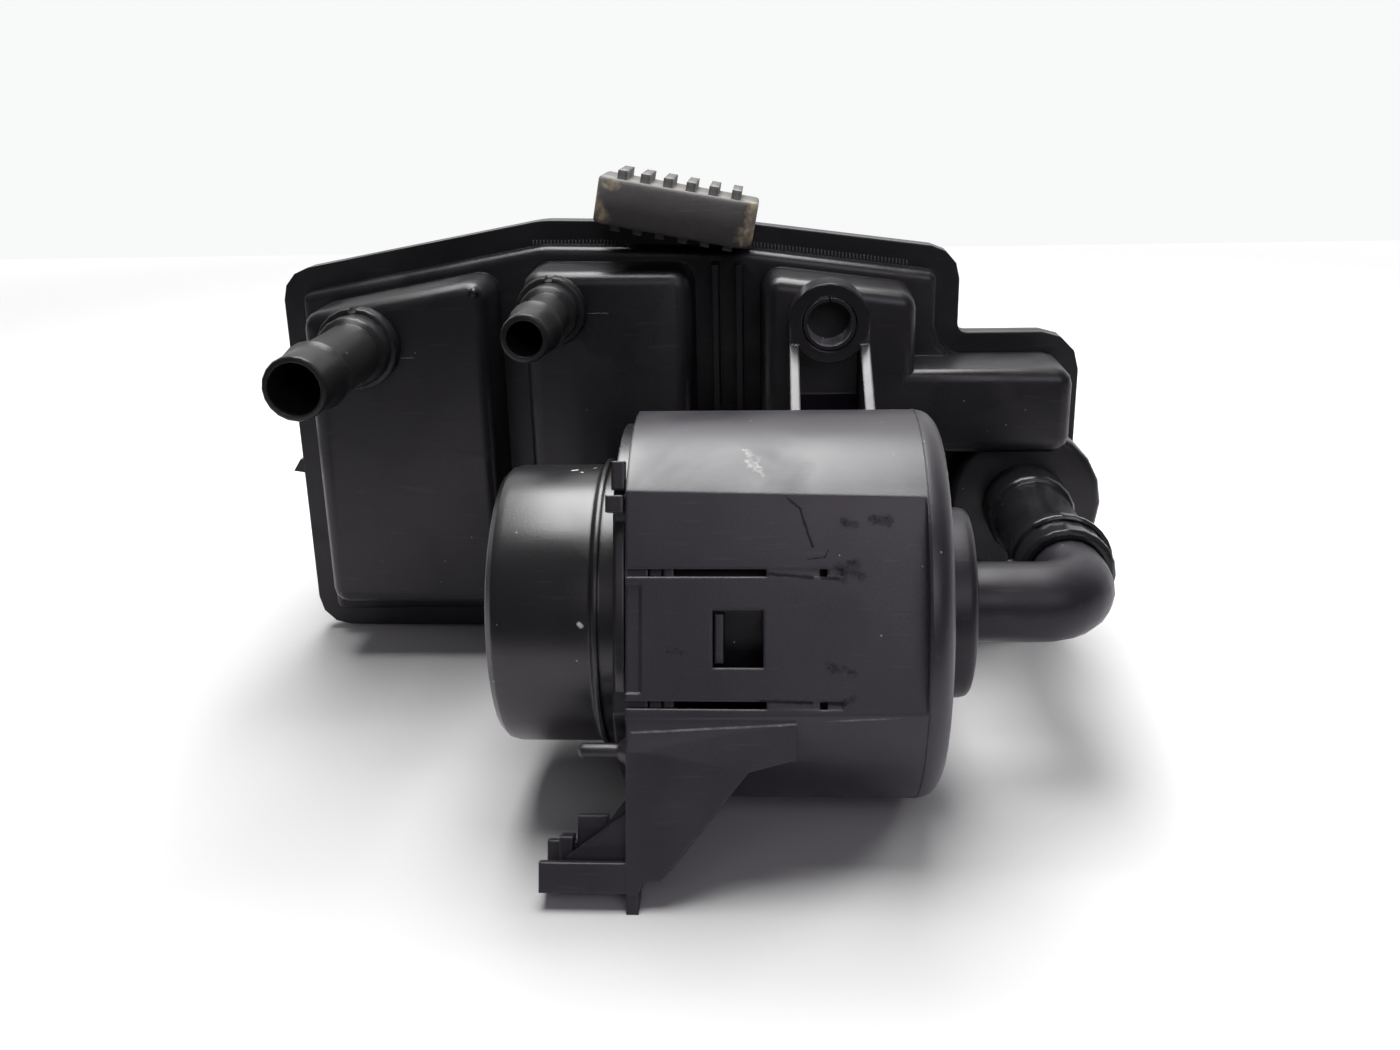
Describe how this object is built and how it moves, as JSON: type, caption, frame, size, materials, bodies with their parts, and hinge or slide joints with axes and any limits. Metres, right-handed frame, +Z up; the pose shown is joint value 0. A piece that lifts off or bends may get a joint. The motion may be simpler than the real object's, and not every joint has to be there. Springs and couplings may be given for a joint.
{
  "type": "charcoal canister",
  "caption": "Black plastic fuel vapour canister with hose ports on its stepped cover, and a drum shaped vent filter housing hung across its front by a bolt ear and a pipe elbow.",
  "frame": {"origin": "on the floor, under the middle of the whole object", "axes": "+Z up; the cover, its ports and the filter housing face -Y; +X is to the right when seen from the ports' side, along the filter drum's axis"},
  "size_m": [0.2298, 0.248, 0.135],
  "materials": {
    "cover_plastic": "matte black moulded",
    "filter_plastic": "satin black moulded",
    "inner_plastic": "plain moulded",
    "pad_rubber": "grey, worn",
    "seal_rubber": "smooth black",
    "sleeve_steel": "rolled, plated",
    "spring_steel": "drawn wire",
    "charcoal": "packed pellets",
    "foam": "open cell",
    "filter_paper": "pleated"
  },
  "bodies": {
    "root": {"canister_cover": "cover_plastic", "canister_shell": "cover_plastic", "main_front_foam": "foam", "main_charcoal_bed": "charcoal", "main_rear_foam": "foam", "main_pressure_plate": "inner_plastic", "vent_front_foam": "foam", "vent_charcoal_bed": "charcoal", "vent_rear_foam": "foam", "vent_pressure_plate": "inner_plastic", "main_spring_1": "spring_steel", "main_spring_2": "spring_steel", "vent_spring": "spring_steel", "tank_port": "filter_plastic", "purge_port": "filter_plastic", "mount_pad": "pad_rubber", "filter_cup": "filter_plastic", "bolt_sleeve": "sleeve_steel", "filter_cap": "filter_plastic", "cap_seal": "seal_rubber", "filter_element": "filter_paper", "element_inner_disc": "seal_rubber", "element_outer_disc": "seal_rubber", "vent_elbow": "filter_plastic", "pipe_seal_1": "seal_rubber", "pipe_seal_2": "seal_rubber", "vent_port": "filter_plastic", "coupling_clip": "sleeve_steel"}
  },
  "joints": []
}
